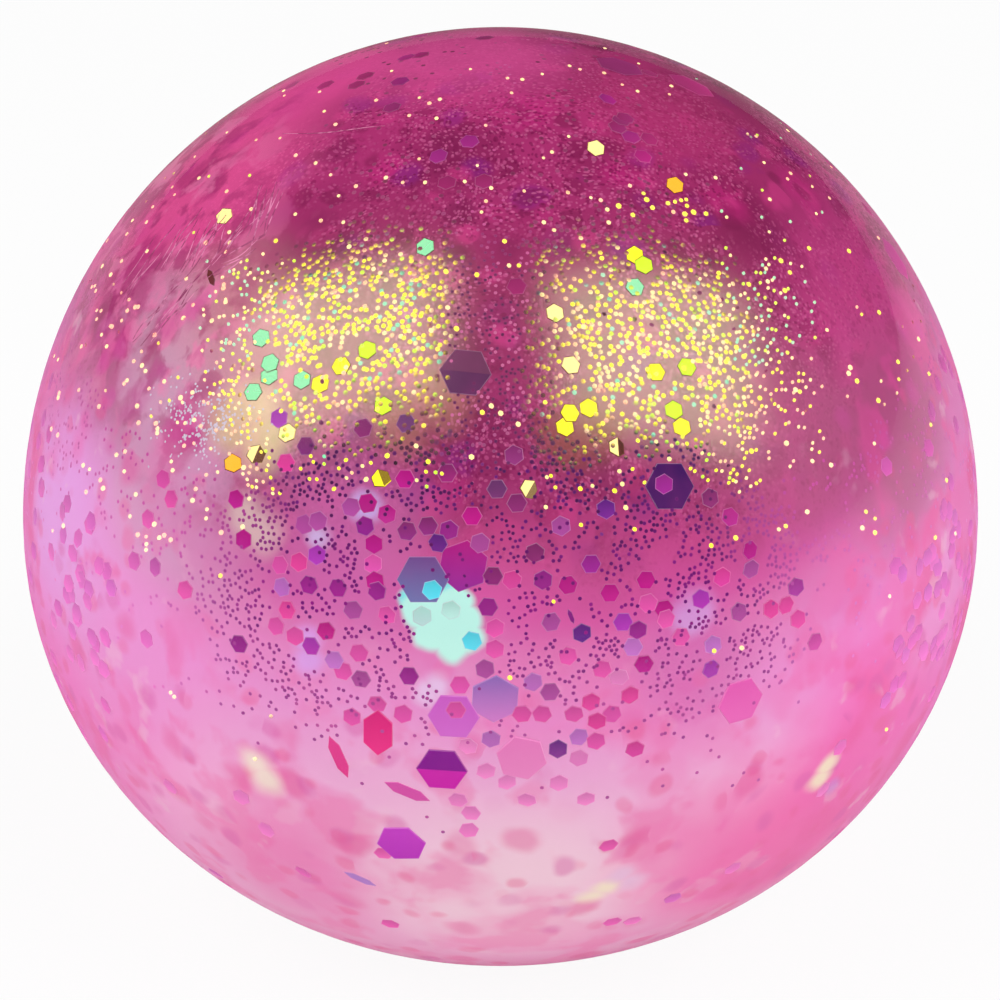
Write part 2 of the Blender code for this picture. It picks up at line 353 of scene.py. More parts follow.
def hit_wall(start, direction, inset):
    """(azimuth, latitude) where a ray first meets the wall at this inset, or None."""
    across = RADIUS - inset
    best = None
    for side, along in ((1, CROWN_RISE - inset), (-1, BELLY_DROP - inset)):
        scale = Vector((1 / across, 1 / across, 1 / along))
        o = (start - MIDDLE) * scale
        d = direction * scale
        a, b, c = d.dot(d), o.dot(d), o.dot(o) - 1
        if b * b < a * c:
            continue
        t = (-b - math.sqrt(b * b - a * c)) / a
        p = o + d * t
        if p.z * side >= 0 and t > 0 and (best is None or t < best[0]):
            best = t, math.atan2(p.x, -p.y), math.asin(max(-1.0, min(1.0, p.z)))
    return best and best[1:]


def seen_at(pixel, inset):
    """(point, outward normal, ray inside) of what the photograph shows at a pixel, at a depth under the skin,
    or None off the ball."""
    right, up, back = view_axes()
    x, y = (p - c for p, c in zip(pixel, CENTRE_PIXEL))
    ray = (right * x / FOCAL_PIXELS - up * y / FOCAL_PIXELS - back).normalized()
    outside = hit_wall(camera_place(), ray, 0.0)
    if outside is None:
        return None
    point, normal = place_at(*outside, 0.0)
    cosine = -ray.dot(normal)
    bend = 1 / SKIN_IOR
    inside = bend * ray + (bend * cosine - math.sqrt(1 - bend**2 * (1 - cosine**2))) * normal
    if inset:
        met = hit_wall(point - inside * RAY_STEP, inside, inset)
        if met is None:
            return None
        point, normal = place_at(*met, inset)
    return point, normal, inside


def lamp_places():
    """Where the softboxes stand so that their mirror images lie where the photograph shows them."""
    for pixel in SOFTBOX_PIXELS:
        point, normal, inside = seen_at(pixel, 0.0)
        yield point + (inside - 2 * inside.dot(normal) * normal) * SOFTBOX_DISTANCE


LAMPS = list(lamp_places())


def catching(point, inside):
    """The facing that mirrors the nearer softbox into the view."""
    lamp = min(LAMPS, key=lambda place: (place - point).normalized().dot(inside))
    return ((lamp - point).normalized() - inside).normalized()


def ball_radii(point):
    """A place in ball radii from the ball's middle, which the patterns are laid out in."""
    return (point - MIDDLE) / RADIUS


# Materials

def new_material(name):
    """(material, its nodes, its shader)"""
    material = bpy.data.materials.new(name)
    material.use_nodes = True
    return material, Nodes(material.node_tree), material.node_tree.nodes["Principled BSDF"]


class Nodes:
    """Builds the nodes of a material or a light."""

    def __init__(self, tree):
        self.tree = tree

    def add(self, kind, inputs=(), **settings):
        node = self.tree.nodes.new(f"ShaderNode{kind}")
        for key, value in settings.items():
            setattr(node, key, value)
        self.fill(node, dict(inputs))
        return node

    def fill(self, node, inputs):
        """Links or sets a node's own sockets."""
        for key, value in inputs.items():
            if isinstance(value, bpy.types.NodeSocket):
                self.tree.links.new(value, node.inputs[key])
            else:
                node.inputs[key].default_value = value

    def show(self, node):
        self.tree.links.new(node.outputs[0], self.tree.nodes["Material Output"].inputs[0])

    def rest(self):
        return self.add("Attribute", attribute_name="rest").outputs["Vector"]

    def math(self, operation, a, b=0.0, c=0.0):
        return self.add("Math", {0: a, 1: b, 2: c}, operation=operation).outputs[0]

    def times(self, *values):
        product = values[0]
        for value in values[1:]:
            product = self.math("MULTIPLY", product, value)
        return product

    def step(self, value, low, high):
        """A soft step from 0 at low to 1 at high."""
        node = self.add("MapRange", {0: value, 1: low, 2: high}, interpolation_type="SMOOTHSTEP")
        return node.outputs[0]

    def mix(self, share, a, b):
        return self.add("Mix", {0: share, 6: a, 7: b}, data_type="RGBA").outputs[2]

    def ramp(self, value, stops):
        node = self.add("ValToRGB", {0: value})
        ends = node.color_ramp.elements
        while len(ends) < len(stops):
            ends.new(0.5)
        for end, (place, colour) in zip(ends, stops):
            end.position = place
            end.color = srgb(*colour)
        return node.outputs[0]

    def noise(self, vector, scale, detail=3.0, output=0):
        node = self.add("TexNoise", {"Vector": vector, "Scale": scale, "Detail": detail})
        return node.outputs[output]

    def spots(self, vector, scale, low, high, chosen):
        """Soft spots, one in each chosen cell: 0 at a distance of low cells and 1 at high."""
        cells = self.add("TexVoronoi", {"Vector": vector, "Scale": scale})
        pick = self.add("SeparateColor", {0: cells.outputs["Color"]}).outputs[0]
        return self.times(self.step(cells.outputs["Distance"], low, high), self.step(pick, *chosen))

    def disc(self, vector, pixel, reach, core):
        """A soft disc about what a pixel shows in the gel: 0 at its reach, 1 within the share core of it."""
        middle = ball_radii(seen_at(pixel, CORE_INSET)[0])
        middle = middle * (1 - PATTERN_BEND) + Vector([PATTERN_BEND / 2] * 3)
        gap = self.add("VectorMath", {0: vector, 1: middle}, operation="DISTANCE")
        return self.step(gap.outputs["Value"], reach / RADIUS, core * reach / RADIUS)


def srgb(red, green, blue):
    """A colour as it looks on a screen, from 0 to 255, as linear light."""
    def linear(v):
        v /= 255
        return v / 12.92 if v <= 0.04045 else ((v + 0.055) / 1.055) ** 2.4
    return linear(red), linear(green), linear(blue), 1.0


# The gel's gloss, in the colour that its dust mirrors, and how far noise bends its patterns
GEL_ROUGHNESS = 0.2
GEL_IOR = 1.9
DUST_FLASH = (0.80, 0.98, 0.52, 1.0)
PATTERN_BEND = 0.08

# The gel's colour from the foot (0) to the crown (1), along the ball's middle and at its sides; the middle is
# darker at the crown, partly for its dust and partly as painted shade, and paler low down as a painted pool
# of light
MIDDLE_TONES = (
    (0.10, (228, 96, 172)),
    (0.19, (240, 156, 206)),
    (0.28, (246, 184, 225)),
    (0.35, (250, 199, 233)),
    (0.42, (247, 182, 225)),
    (0.54, (234, 138, 210)),
    (0.655, (214, 84, 163)),
    (0.70, (196, 72, 140)),
    (0.755, (162, 50, 112)),
    (0.88, (148, 38, 94)),
    (0.93, (166, 46, 108)),
    (1.00, (200, 56, 130)),
)
SIDE_TONES = (
    (0.10, (246, 90, 190)),
    (0.40, (249, 108, 204)),
    (0.56, (244, 133, 218)),
    (0.70, (218, 92, 172)),
    (0.82, (206, 62, 138)),
    (1.00, (200, 56, 128)),
)

# Patterns in the gel: scale, where they start and are full, strength and colour
CROWN_SPOTS = (
    (4.0, 0.52, 0.20, 0.50, (112, 22, 70)),
    (6.5, 0.48, 0.20, 0.50, (206, 40, 130)),
    (9.0, 0.44, 0.22, 0.55, (116, 24, 76)),
    (10.0, 0.42, 0.20, 0.40, (128, 30, 138)),
    (13.0, 0.42, 0.22, 0.45, (222, 64, 142)),
    (17.0, 0.44, 0.30, 0.50, (120, 22, 74)),
)
CROWN_DUST = (
    (60.0, 0.42, 0.26, 0.65, (126, 22, 78)),
    (85.0, 0.44, 0.26, 0.45, (214, 96, 156)),
    (120.0, 0.46, 0.26, 0.7, (120, 20, 76)),
    (130.0, 0.46, 0.26, 0.45, (222, 112, 166)),
)
SCUFFED_MOTTLES = (
    (7.0, 0.50, 0.60, 0.6, (180, 44, 116)),
    (16.0, 0.50, 0.60, 0.6, (168, 46, 110)),
    (12.0, 0.48, 0.38, 0.6, (246, 128, 182)),
    (5.0, 0.42, 0.32, 0.45, (206, 40, 150)),
)
DEEP_MOTTLES = (
    (3.6, 0.50, 0.62, 0.60, (243, 86, 180)),
    (7.5, 0.53, 0.64, 0.60, (242, 76, 168)),
    (11.0, 0.40, 0.30, 0.40, (246, 196, 222)),
)
DEEP_SPOTS = (
    (10.0, 0.44, 0.16, 0.60, (234, 62, 158)),
    (14.0, 0.44, 0.18, 0.50, (224, 74, 174)),
    (18.0, 0.44, 0.20, 0.45, (238, 72, 152)),
)
CROWN_CELLS = (0.35, 0.60)
DEEP_CELLS = (0.45, 0.85)
CLOUD_AND_LIGHT_CORE, GLOW_CORE, BRIGHT_CORE = 0.25, 0.2, 0.6


def gel_material():
    """Pink gel: dark and full of dust at the crown, the dark partly painted shade, pale towards the foot as
    painted light, with far sequins as soft spots and painted glows.
    """
    material, n, shader = new_material("pink_gel")
    rest = n.rest()
    cloud = n.noise(rest, 1.6)
    parts = n.add("SeparateXYZ", {0: rest})
    x, height = parts.outputs[0], parts.outputs[2]
    level = n.math("ADD", height, n.math("MULTIPLY_ADD", cloud, 0.24, -0.12))
    share = n.math("MULTIPLY_ADD", level, 0.5, 0.5)
    away = n.step(n.math("ABSOLUTE", x), 0.40, 0.86)
    # The tone by height: painted shade darkens the crown's middle and a painted pool of light pales the
    # middle low down
    colour = n.mix(away, n.ramp(share, MIDDLE_TONES), n.ramp(share, SIDE_TONES))
    bent = n.mix(PATTERN_BEND, rest, n.noise(rest, 5.0, output=1))

    # Mixes a hue into the gel's colour, for real stains and for painted light alike
    def stain_and_painted_light(hue, *shares):
        return n.mix(n.times(*shares), colour, srgb(*hue))

    def mottle(scale, low, high, detail=3.0):
        return n.step(n.noise(bent, scale, detail), low, high)

    # Sequins that gather in the crown, and dust in drifts
    crown = n.step(level, 0.30, 0.62)
    for *spot, strength, hue in CROWN_SPOTS:
        colour = stain_and_painted_light(hue, n.spots(bent, *spot, CROWN_CELLS), crown, strength)
    drifts = mottle(6.0, 0.34, 0.52, 4.0)
    for *spot, strength, hue in CROWN_DUST:
        colour = stain_and_painted_light(hue, n.spots(bent, *spot, CROWN_CELLS), drifts, crown, strength)
    # Clouds of tone, among them painted highlight haze and painted light low on the front
    for pixel, reach, hue, strength in CLOUDS_AND_PAINTED_LIGHT:
        colour = stain_and_painted_light(hue, n.disc(bent, pixel, reach, CLOUD_AND_LIGHT_CORE), strength)

    # Mottled gel behind the scuffs
    high_side = n.times(n.step(x, -0.30, -0.60), n.step(level, 0.30, 0.55))
    for *mottled, strength, hue in SCUFFED_MOTTLES:
        colour = stain_and_painted_light(hue, mottle(*mottled, 5.0), high_side, strength)

    # Sequins deep in the gel, out of focus
    low_down = n.step(level, 0.34, -0.06)
    sideways = n.times(away, n.step(level, 0.75, 0.35))
    soft = n.math("MAXIMUM", low_down, sideways)
    fuller = n.math("MULTIPLY_ADD", away, 0.45, 0.55)
    for *mottled, strength, hue in DEEP_MOTTLES:
        colour = stain_and_painted_light(hue, mottle(*mottled), soft, strength, fuller)
    for *spot, strength, hue in DEEP_SPOTS:
        colour = stain_and_painted_light(hue, n.spots(bent, *spot, DEEP_CELLS), soft, strength)

    # Painted glints and glows from deep sequins, and painted tint under the highlights
    for glows, core in ((GLOWS, GLOW_CORE), (BRIGHT_GLOWS, BRIGHT_CORE)):
        for pixels, reach, hue, strength in glows:
            glow = n.disc(bent, pixels[0], reach, core)
            for pixel in pixels[1:]:
                glow = n.math("MAXIMUM", glow, n.disc(bent, pixel, reach, core))
            colour = stain_and_painted_light(hue, glow, strength)
    gloss = {"Roughness": GEL_ROUGHNESS, "IOR": GEL_IOR, "Specular Tint": DUST_FLASH}
    n.fill(shader, {"Base Color": colour, **gloss})
    return material


def skin_materials():
    """The clear rubber, and the wall's face inside, which meets gel as clear as itself and doesn't show."""
    rubber, n, shader = new_material("clear_rubber")
    tint = n.mix(n.noise(n.rest(), 3.0), *SKIN_TINTS)
    bend = n.add("BsdfRefraction", {"Color": tint, "Roughness": SKIN_ROUGHNESS, "IOR": SKIN_IOR})
    mirror = n.add("BsdfAnisotropic", {"Roughness": SKIN_ROUGHNESS})
    gloss = n.math("MINIMUM", n.add("Fresnel", {"IOR": SKIN_IOR}).outputs[0], MOST_GLOSS)
    n.show(n.add("MixShader", {0: gloss, 1: bend.outputs[0], 2: mirror.outputs[0]}))
    n.tree.nodes.remove(shader)
    inner, n, _ = new_material("inner_wall")
    n.show(n.add("BsdfTransparent"))
    return rubber, inner


# The pink that dulls a film in places
FILM_HAZE, FILM_PINK = 0.12, (214, 80, 164)


def film_material(name, flash, ior=4.2, roughness=0.16):
    """Iridescent film: each sequin's own tint shines through it, and what it mirrors has the flash."""
    material, n, shader = new_material(name)
    tint = n.add("Attribute", attribute_name="tint").outputs["Color"]
    haze = n.times(n.noise(n.rest(), 26.0, 1.0), FILM_HAZE)
    gloss = {"Roughness": roughness, "IOR": ior, "Specular Tint": (*flash, 1.0)}
    n.fill(shader, {"Base Color": n.mix(haze, tint, srgb(*FILM_PINK)), **gloss})
    return material


# What the flashing films mirror
FLASHES = {
    "gold": (1.0, 0.92, 0.02),
    "cream": (0.95, 0.80, 0.30),
    "peach": (0.95, 0.58, 0.26),
    "amber": (0.95, 0.45, 0.02),
    "lime": (0.54, 0.90, 0.02),
    "mint": (0.18, 0.72, 0.36),
}
FILM_NAMES = (*FLASHES, "plain")


def film_materials():
    """The films by name, in the order of their slots: the flashing ones, then the plain one."""
    films = {name: film_material(f"{name}_flash_film", flash) for name, flash in FLASHES.items()}
    films["plain"] = film_material("violet_film", (0.9, 0.7, 1.0), ior=1.25, roughness=0.3)
    return films


def plug_material():
    plug, n, shader = new_material("plug_rubber")
    shade = n.noise(n.add("TexCoord").outputs["Object"], 900.0)
    n.fill(shader, {"Base Color": n.mix(shade, srgb(214, 120, 172), srgb(232, 150, 194)), "Roughness": 0.42})
    return plug


def scuff_material():
    scuffed, n, shader = new_material("scuffed_rubber")
    light = n.step(n.noise(n.rest(), 40.0), 0.40, 0.60)
    n.fill(shader, {"Base Color": n.mix(light, srgb(146, 40, 96), srgb(224, 134, 176)), "Roughness": 0.5})
    return scuffed


# The skin and the gel

def fillet_start(inset):
    """(latitude, radius of the flat foot) where the wall at this inset runs into the foot's fillet."""
    fillet = FOOT_FILLET - inset
    above, below = 0.0, -math.pi / 2
    for _ in range(48):
        middle = (above + below) / 2
        radius, height, normal = wall_at(middle, inset)
        if height - fillet * normal[1] > inset + fillet:
            above = middle
        else:
            below = middle
    return middle, radius - fillet * normal[0]


def ball_section(inset, crown_rings, belly_rings, fillet_rings):
    """Points (radius, height) from the top pole down to the edge of the flat foot."""
    start, foot_radius = fillet_start(inset)
    fillet = FOOT_FILLET - inset
    points = [wall_at(math.pi / 2 * (1 - i / crown_rings), inset)[:2] for i in range(crown_rings)]
    points[0] = (0.0, points[0][1])
    points += [wall_at(start * i / belly_rings, inset)[:2] for i in range(belly_rings)]
    normal = wall_at(start, inset)[2]
    slope = math.atan2(normal[1], normal[0])
    for i in range(fillet_rings + 1):
        angle = slope + (-math.pi / 2 - slope) * i / fillet_rings
        points.append((foot_radius + fillet * math.cos(angle), inset + fillet * (1 + math.sin(angle))))
    return points


def add_mesh(name, points, faces):
    mesh = bpy.data.meshes.new(name)
    mesh.from_pydata([tuple(p) for p in points], [], faces)
    obj = bpy.data.objects.new(name, mesh)
    bpy.context.scene.collection.objects.link(obj)
    return obj


def turned(name, section, segments):
    """(object, ring of each face) of a closed mesh, turned about the axis from a section between poles."""
    points, faces, rings, owner = [], [], [], []
    for radius, height in section:
        if radius < 1e-7:
            rings.append([len(points)])
            points.append((0, 0, height))
            continue
        rings.append(list(range(len(points), len(points) + segments)))
        for i in range(segments):
            angle = 2 * math.pi * i / segments
            points.append((radius * math.cos(angle), radius * math.sin(angle), height))
    for k, (a, b) in enumerate(zip(rings, rings[1:])):
        for i in range(segments):
            j = (i + 1) % segments
            corners = a[i % len(a)], b[i % len(b)], b[j % len(b)], a[j % len(a)]
            faces.append(list(dict.fromkeys(corners)))
            owner.append(k)
    obj = add_mesh(name, points, faces)
    obj.data.shade_smooth()
    return obj, owner


def hide_from(obj, *rays):
    """Keeps a clear or thin piece from shading what lies behind it."""
    for ray in rays:
        setattr(obj, f"visible_{ray}", False)


def make_skin():
    outside = ball_section(0.0, *SKIN_RINGS)
    neck = [
        (SEAT_RADIUS, 0.0),
        (SEAT_RADIUS, SEAT_DEPTH),
        (BORE_RADIUS, SEAT_DEPTH),
        (BORE_RADIUS, NECK_HEIGHT),
        (NECK_RADIUS, NECK_HEIGHT),
        (NECK_RADIUS, SKIN_WALL),
    ]
    inside = ball_section(SKIN_WALL, *INNER_RINGS)[::-1]
    obj, owner = turned("skin_wall", outside + neck + inside, SEGMENTS)
    for material in skin_materials():
        obj.data.materials.append(material)
    # The plug's seat still counts as outside
    first_inside = len(outside) + 2
    obj.data.polygons.foreach_set("material_index", [int(k >= first_inside) for k in owner])
    hide_from(obj, "shadow", "diffuse", "glossy")
    return obj


def make_core():
    section = ball_section(CORE_INSET, *CORE_RINGS)
    neck, barb = NECK_RADIUS + NECK_CLEARANCE, BORE_RADIUS + BARB_CLEARANCE
    neck_top = NECK_HEIGHT + NECK_CLEARANCE
    pocket = [(neck, CORE_INSET), (neck, neck_top), (barb, neck_top), (barb, POCKET_TOP), (0.0, POCKET_TOP)]
    obj, _ = turned("gel_body", section + pocket, SEGMENTS)
    obj.data.materials.append(gel_material())
    return obj


def make_scuffs(rng):
    """Fine scratches in the skin: thin ribbons just under its face, each thickest half way."""
    points, faces = [], []
    for start, end in [pair for pair in SCUFFS for _ in range(SCUFF_COPIES)] + [LONG_SCUFF]:
        first = len(points)
        wave = rng.uniform(-1, 1)
        shift = rng.normal(0, SCUFF_SPREAD, 2)
        start, end = (tuple(np.add(pixel, shift)) for pixel in (start, end))
        for i in range(SCUFF_STEPS + 1):
            share = i / SCUFF_STEPS
            sway = SCUFF_SWAY * wave * math.sin(share * math.pi * 1.5)
            pixel = [a + (b - a) * share + sway for a, b in zip(start, end)]
            point, normal, _ = seen_at(pixel, SCUFF_DEPTH)
            further = [p + (b - a) * 0.1 for p, a, b in zip(pixel, start, end)]
            ahead, _, _ = seen_at(further, SCUFF_DEPTH)
            across = normal.cross(ahead - point).normalized() * SCUFF_WIDTH
            across *= 0.15 + math.sin(share * math.pi)
            points += [point + across, point - normal * SCUFF_WIDTH, point - across]
        for i in range(SCUFF_STEPS):
            a, b = first + 3 * i, first + 3 * i + 3
            faces += [[a + k, a + (k + 1) % 3, b + (k + 1) % 3, b + k] for k in range(3)]
        last = first + 3 * SCUFF_STEPS
        faces += [[first + 2, first + 1, first], [last, last + 1, last + 2]]
    obj = add_mesh("skin_scuffs", points, faces)
    obj.data.materials.append(scuff_material())
    hide_from(obj, "shadow", "diffuse")
    return obj


# The glitter

# A flake's corners, the pink of a sequin's rim, and a flake's reach in its own cell of the map
CELL_REACH = 0.42
SEQUIN_RIM = (244, 190, 224)
HEXAGON = [Vector((math.cos(math.pi / 3 * k), math.sin(math.pi / 3 * k))) for k in range(6)]


class Flakes:
    """Collects sequins and turns them into one mesh of thin closed hexagons."""

    def __init__(self, name):
        self.name = name
        self.points, self.faces, self.slots = [], [], []
        self.tints, self.spots, self.count = [], [], 0

    def close(self, faces, places, film, shade):
        """Takes one sequin's faces, with each point's place on it and the tint of a face at a point."""
        first = len(self.points) - len(places)
        for number, face in enumerate(faces):
            self.faces.append([first + k for k in face])
            self.slots.append(FILM_NAMES.index(film))
            for k in face:
                self.tints.append(shade(number, k))
                self.spots.append((self.count, places[k].x, places[k].y))
        self.count += 1

    def add_speck(self, centre, facing, turn, size, tints, film):
        """A hexagon that is a little raised in the middle, with the tint of its middle and of its edge."""
        x, y, z = hexagon_axes(facing, turn)
        reach = size / math.sqrt(3)
        self.points += [centre + (x * p.x + y * p.y) * reach for p in HEXAGON]
        self.points.append(centre + z * FINE_FILM)
        faces = [[5, 4, 3, 2, 1, 0]] + [[k, (k + 1) % 6, 6] for k in range(6)]
        self.close(faces, HEXAGON + [Vector((0, 0))], film, lambda _, k: tints[k < 6])

    def add_sequin(self, centre, axes, size, thick, tints, film, fold=0.0, narrow=1.0, rim=0.22):
        """A hexagon with a chamfered rim, which may be folded along its middle or drawn narrow."""
        x, y, z = axes
        reach = size / math.sqrt(3)
        inner = 1 - RIM_WIDTH / reach
        places = []
        for share, lift in ((inner, thick / 2), (1.0, thick / 6), (1.0, -thick / 2)):
            for p in HEXAGON:
                place = Vector((p.x, p.y * narrow)) * share
                places.append(place)
                down = fold * abs(place.y) * reach
                self.points.append(centre + (x * place.x + y * place.y) * reach + z * (lift - down))
        bright = tuple(blend(tint, srgb(*SEQUIN_RIM), rim) for tint in tints)
        upper, lower = ([tint] * 2 for tint in tints)
        if y.z < 0:
            upper, lower = lower, upper
        shades = [upper, lower] * 2 if fold else [tints] * 4
        faces = [[0, 1, 2, 3], [3, 4, 5, 0], [15, 14, 13, 12], [12, 17, 16, 15]]
        for ring, shade in ((0, bright), (6, tints)):
            for k in range(6):
                j = (k + 1) % 6
                faces.append([ring + k, ring + 6 + k, ring + 6 + j, ring + j])
                shades.append(shade)
        up = Vector((x.z, y.z)).normalized()
        self.close(faces, places, film, lambda f, k: blend(*shades[f][::-1], 0.5 + 0.5 * places[k].dot(up)))

    def build(self, films):
        obj = add_mesh(self.name, self.points, self.faces)
        mesh = obj.data
        for material in films.values():
            mesh.materials.append(material)
        mesh.polygons.foreach_set("material_index", self.slots)
        layer = mesh.attributes.new("tint", "FLOAT_COLOR", "CORNER")
        layer.data.foreach_set("color", np.array(self.tints, np.float32).ravel())
        # Each sequin has its own cell of the map, so that a baked picture keeps its tint
        side = math.ceil(math.sqrt(self.count))
        spots = np.array(self.spots)
        cells = np.stack((spots[:, 0] % side, spots[:, 0] // side), 1)
        places = (cells + 0.5 + CELL_REACH * spots[:, 1:]) / side
        mesh.uv_layers.new(name="OFBake").data.foreach_set("uv", places.astype(np.float32).ravel())
        hide_from(obj, "shadow", "diffuse", "glossy")
        return obj


def hexagon_axes(facing, turn):
    """Axes across, along and out of a hexagon that faces this way."""
    z = facing.normalized()
    x = Matrix.Rotation(turn, 3, z) @ z.orthogonal().normalized()
    return x, z.cross(x), z


def tilted(normal, amount, rng):
    """The normal, leaning by a random angle of about this size in radians."""
    lean = Vector(rng.normal(0, amount, 3))
    return (normal + lean - normal * lean.dot(normal)).normalized()


def blend(a, b, share):
    return tuple(p + (q - p) * share for p, q in zip(a, b))


def shaded(tint, factor):
    """A tint times a factor: below 1 it is painted shade, above 1 painted light."""
    return (*(factor * c for c in tint[:3]), 1.0)


def tone_at(tones, share):
    """The gel's colour, with its painted light and shade, at a share of the ball's height."""
    places = [place for place, _ in tones]
    colours = np.array([srgb(*hue) for _, hue in tones])
    return tuple(np.interp(share, places, colours[:, k]) for k in range(4))


def drowned(tint, point, inner, most, least=0.0):
    """A tint that the gel's own takes over, from inner ball radii off the middle on."""
    x, _, height = ball_radii(point)
    aside = np.interp(abs(x), (inner, inner + 0.2), (0.0, most)) * in_view(point)
    return blend(tint, tone_at(SIDE_TONES, 0.5 + 0.5 * height), max(aside, least))


def softened(tint, point):
    """A sequin's tint, drowned towards the ball's sides and its foot."""
    height = ball_radii(point).z
    inner = np.interp(height, (0.6, 0.8), (0.52, 0.20))
    most = np.interp(height, (0.2, 0.45), (0.75, 0.9))
    return drowned(tint, point, inner, most, np.interp(height, (-0.35, 0.05), (0.5, 0.0)))


def in_view(point):
    """How much the photograph looks at a place: 1 in front, and less on the far side, which has no haze."""
    return np.interp(ball_radii(point).dot(view_axes()[2]), (-0.35, 0.0), (0.3, 1.0))


def latitude_of(point):
    return math.asin(max(-1.0, min(1.0, (point.z - EQUATOR) / RADIUS)))


# Hues that sequins show by latitude in degrees, from the highest down
HUES_BY_LATITUDE = (
    (36, ("maroon", "plum", "magenta", "maroon", "purple")),
    (14, ("plum", "purple", "magenta", "navy", "mauve", "violet")),
    (0, ("magenta", "rose", "pink", "purple", "violet", "mauve", "pink")),
    (-90, ("pink", "blush", "lilac", "rose", "blush")),
)


def random_tints(point, rng):
    """The upper and the lower tint of a sequin, by how high it floats, with painted shade on the upper one
    and painted light on the lower one.
    """
    height = math.degrees(latitude_of(point))
    names = next(names for lowest, names in HUES_BY_LATITUDE if height >= lowest)
    upper, other = (softened(srgb(*HUES[rng.choice(names)]), point) for _ in range(2))
    if height > 36:
        upper = blend(upper, tone_at(MIDDLE_TONES, 0.8), 0.45)
    return shaded(upper, 0.85), shaded(blend(upper, other, rng.uniform(0, 0.6)), 1.15)


def seated_sequins(rng):
    """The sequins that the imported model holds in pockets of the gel: (body, flakes, nodes) by body."""
    for body, members in frame["record"]["behaviour"]["bodies"].items():
        named = [m for m in members if "sequin" in m]
        if not named:
            continue
        flakes = Flakes(f"seated_sequins_{body}")
        for node in named:
            low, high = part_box(node)
            middle = (low + high) / 2
            mesh = nodes[node].data
            top = max(mesh.polygons, key=lambda face: face.area)
            normal = top.normal.copy()
            if normal.dot(middle - MIDDLE) < 0:
                normal.negate()
            number = int(node[-2:])
            narrow = NARROWED.get(number, 1.0) if node.startswith("large") else 1.0
            corners = [mesh.vertices[v].co - middle for v in top.vertices]
            corners.sort(key=lambda corner: round(abs(corner.z), 6))
            x = corners[-1] if narrow < 1 else corners[0]
            x = (x - normal * x.dot(normal)).normalized()
            axes = x, normal.cross(x), normal
            tints = random_tints(middle, rng)
            if node.startswith("medium"):
                high_up = middle.z - EQUATOR > 0.6 * RADIUS and in_view(middle) < 1
                film = rng.choice(("gold", "lime", "cream")) if high_up else "plain"
                flakes.add_sequin(middle, axes, MEDIUM, MEDIUM_FILM, tints, film, rim=0.1)
                continue
            if number in LARGE_HUES:
                tints = tuple(srgb(*hue) for hue in LARGE_HUES[number])
            shape = {"fold": 0.06 if number in FOLDED else 0.0, "rim": 0.22 if number in LARGE_HUES else 0.08}
            flakes.add_sequin(middle, axes, LARGE, LARGE_FILM, tints, "plain", narrow=narrow, **shape)
        yield body, flakes, named


